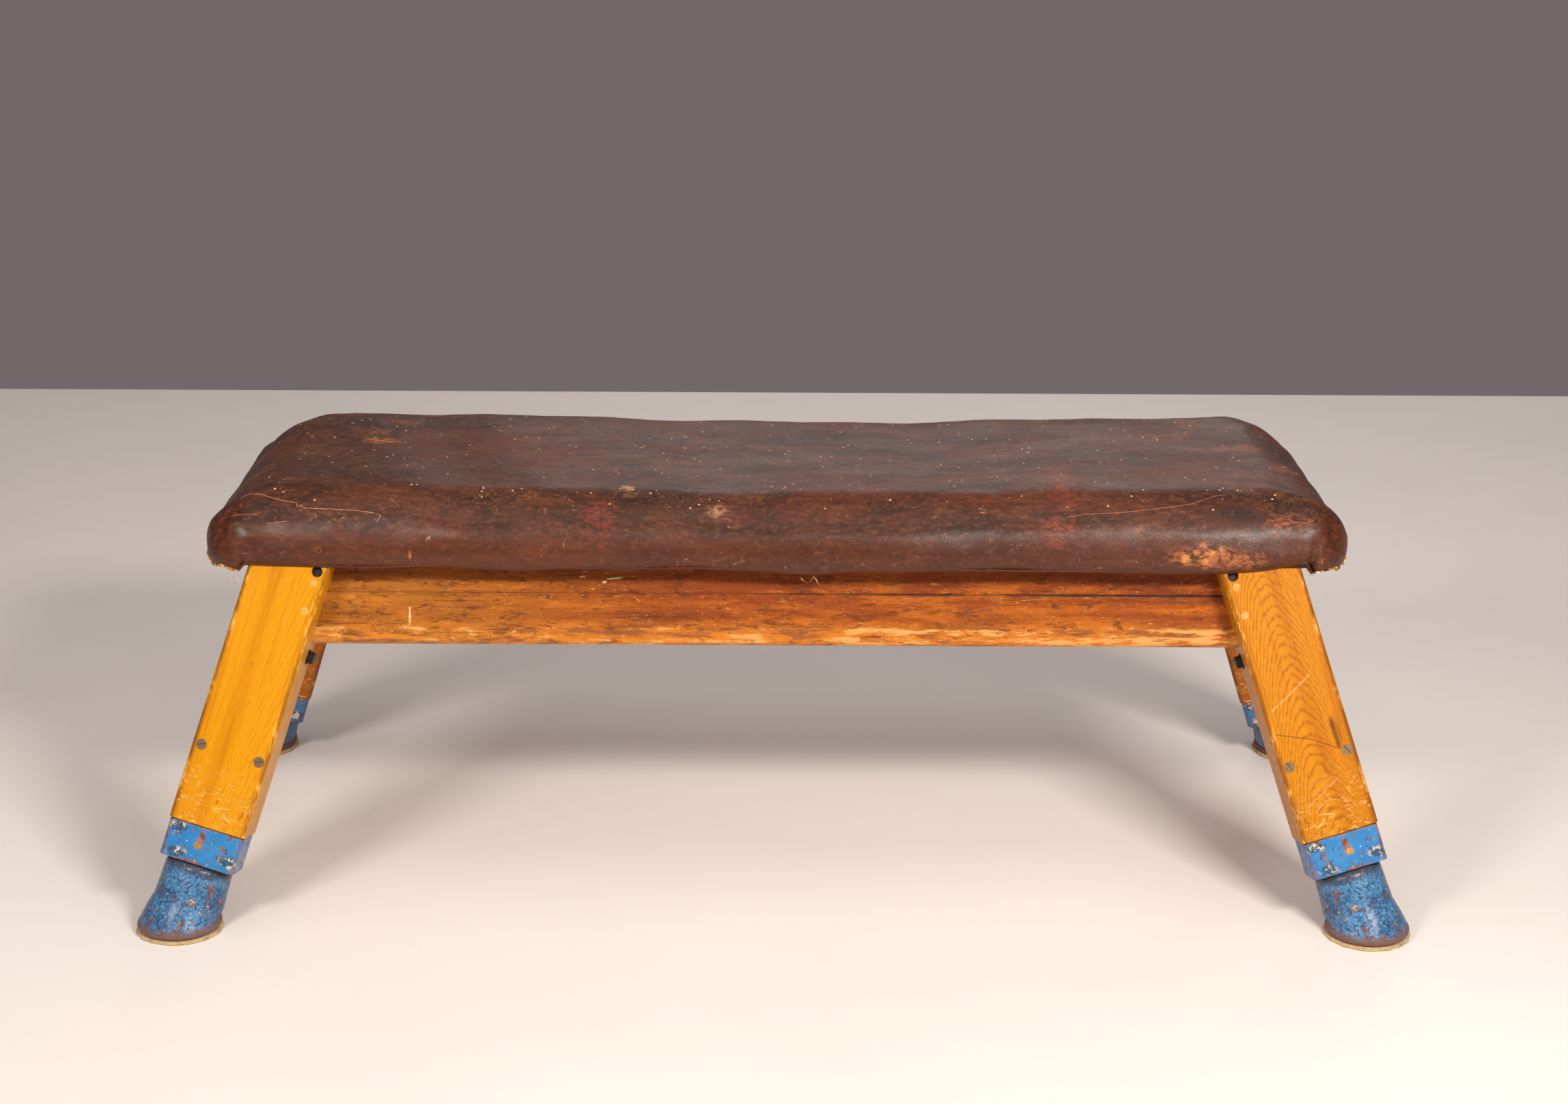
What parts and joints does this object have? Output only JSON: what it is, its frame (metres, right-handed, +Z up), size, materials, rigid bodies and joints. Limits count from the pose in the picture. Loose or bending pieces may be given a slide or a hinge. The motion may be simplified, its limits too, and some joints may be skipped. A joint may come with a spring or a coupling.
{
  "type": "gymnastics horse",
  "caption": "Low gymnastics horse: padded leather top on a wooden frame with splayed telescoping box legs, steel collars, cast bell feet, felt pads and clamp bolts.",
  "frame": {"origin": "on the floor, under the middle of the horse", "axes": "+X along the horse to the right seen from its front, -Y towards the front, +Z up"},
  "size_m": [1.6234, 0.7314, 0.538],
  "materials": {
    "leather": "aged, glossy where rubbed",
    "horsehair": "matted curled hair",
    "jute": "coarse weave",
    "leg_ash": "old yellow varnish, scratched",
    "rail_wood": "old red-brown varnish, dented",
    "deck_pine": "unfinished, aged",
    "post_ash": "bare, waxed by use",
    "dowel_beech": "varnished end grain",
    "blue_paint": "chipped gloss paint",
    "blue_casting": "rough casting under worn blue paint",
    "felt": "pressed felt, frayed",
    "dark_steel": "tarnished",
    "zinc_steel": "dull",
    "black_steel": "blackened",
    "tack_steel": "rusty",
    "brass": "worn"
  },
  "bodies": {
    "frame": {"deck_board_front": "deck_pine", "deck_board_middle": "deck_pine", "deck_board_back": "deck_pine", "cross_batten_left": "deck_pine", "cross_batten_centre": "deck_pine", "cross_batten_right": "deck_pine", "front_rail": "rail_wood", "back_rail": "rail_wood", "front_batten": "rail_wood", "back_batten": "rail_wood", "end_rail_left": "rail_wood", "end_rail_right": "rail_wood", "outer_half_front_left": "leg_ash", "inner_half_front_left": "leg_ash", "collar_front_left": "blue_paint", "outer_half_front_right": "leg_ash", "inner_half_front_right": "leg_ash", "collar_front_right": "blue_paint", "outer_half_back_left": "leg_ash", "inner_half_back_left": "leg_ash", "collar_back_left": "blue_paint", "outer_half_back_right": "leg_ash", "inner_half_back_right": "leg_ash", "collar_back_right": "blue_paint", "sleeve_screws": "dark_steel", "collar_screws": "brass", "rail_dowels": "dowel_beech", "leg_bolts": "black_steel", "clamp_bushes": "black_steel", "leg_washers": "zinc_steel", "leg_nuts": "zinc_steel", "deck_screws": "zinc_steel", "padding": "horsehair", "jute_lining": "jute", "leather_cover": "leather", "upholstery_tacks": "tack_steel"},
    "leg_front_left": {"inner_post_front_left": "post_ash", "foot_casting_front_left": "blue_casting", "foot_screw_front_left": "zinc_steel", "felt_pad_front_left": "felt"},
    "clamp_front_left": {"clamp_bolt_front_left": "black_steel"},
    "leg_front_right": {"inner_post_front_right": "post_ash", "foot_casting_front_right": "blue_casting", "foot_screw_front_right": "zinc_steel", "felt_pad_front_right": "felt"},
    "clamp_front_right": {"clamp_bolt_front_right": "black_steel"},
    "leg_back_left": {"inner_post_back_left": "post_ash", "foot_casting_back_left": "blue_casting", "foot_screw_back_left": "zinc_steel", "felt_pad_back_left": "felt"},
    "clamp_back_left": {"clamp_bolt_back_left": "black_steel"},
    "leg_back_right": {"inner_post_back_right": "post_ash", "foot_casting_back_right": "blue_casting", "foot_screw_back_right": "zinc_steel", "felt_pad_back_right": "felt"},
    "clamp_back_right": {"clamp_bolt_back_right": "black_steel"}
  },
  "joints": [
    {"name": "leg_slide_front_left", "type": "slide", "parent": "frame", "child": "leg_front_left", "axis": [-0.2974, -0.2871, -0.9106], "range_m": [0, 0.09]},
    {"name": "clamp_turn_front_left", "type": "hinge", "parent": "frame", "child": "clamp_front_left", "pos_m": [-0.59785, -0.19746, 0.32671], "axis": [0.9548, -0.0894, -0.2836], "range_deg": [0, 720]},
    {"name": "leg_slide_front_right", "type": "slide", "parent": "frame", "child": "leg_front_right", "axis": [0.2974, -0.2871, -0.9106], "range_m": [0, 0.09]},
    {"name": "clamp_turn_front_right", "type": "hinge", "parent": "frame", "child": "clamp_front_right", "pos_m": [0.59785, -0.19746, 0.32671], "axis": [-0.9548, -0.0894, -0.2836], "range_deg": [0, 720]},
    {"name": "leg_slide_back_left", "type": "slide", "parent": "frame", "child": "leg_back_left", "axis": [-0.2974, 0.2871, -0.9106], "range_m": [0, 0.09]},
    {"name": "clamp_turn_back_left", "type": "hinge", "parent": "frame", "child": "clamp_back_left", "pos_m": [-0.59785, 0.19746, 0.32671], "axis": [0.9548, 0.0894, -0.2836], "range_deg": [0, 720]},
    {"name": "leg_slide_back_right", "type": "slide", "parent": "frame", "child": "leg_back_right", "axis": [0.2974, 0.2871, -0.9106], "range_m": [0, 0.09]},
    {"name": "clamp_turn_back_right", "type": "hinge", "parent": "frame", "child": "clamp_back_right", "pos_m": [0.59785, 0.19746, 0.32671], "axis": [-0.9548, 0.0894, -0.2836], "range_deg": [0, 720]}
  ]
}
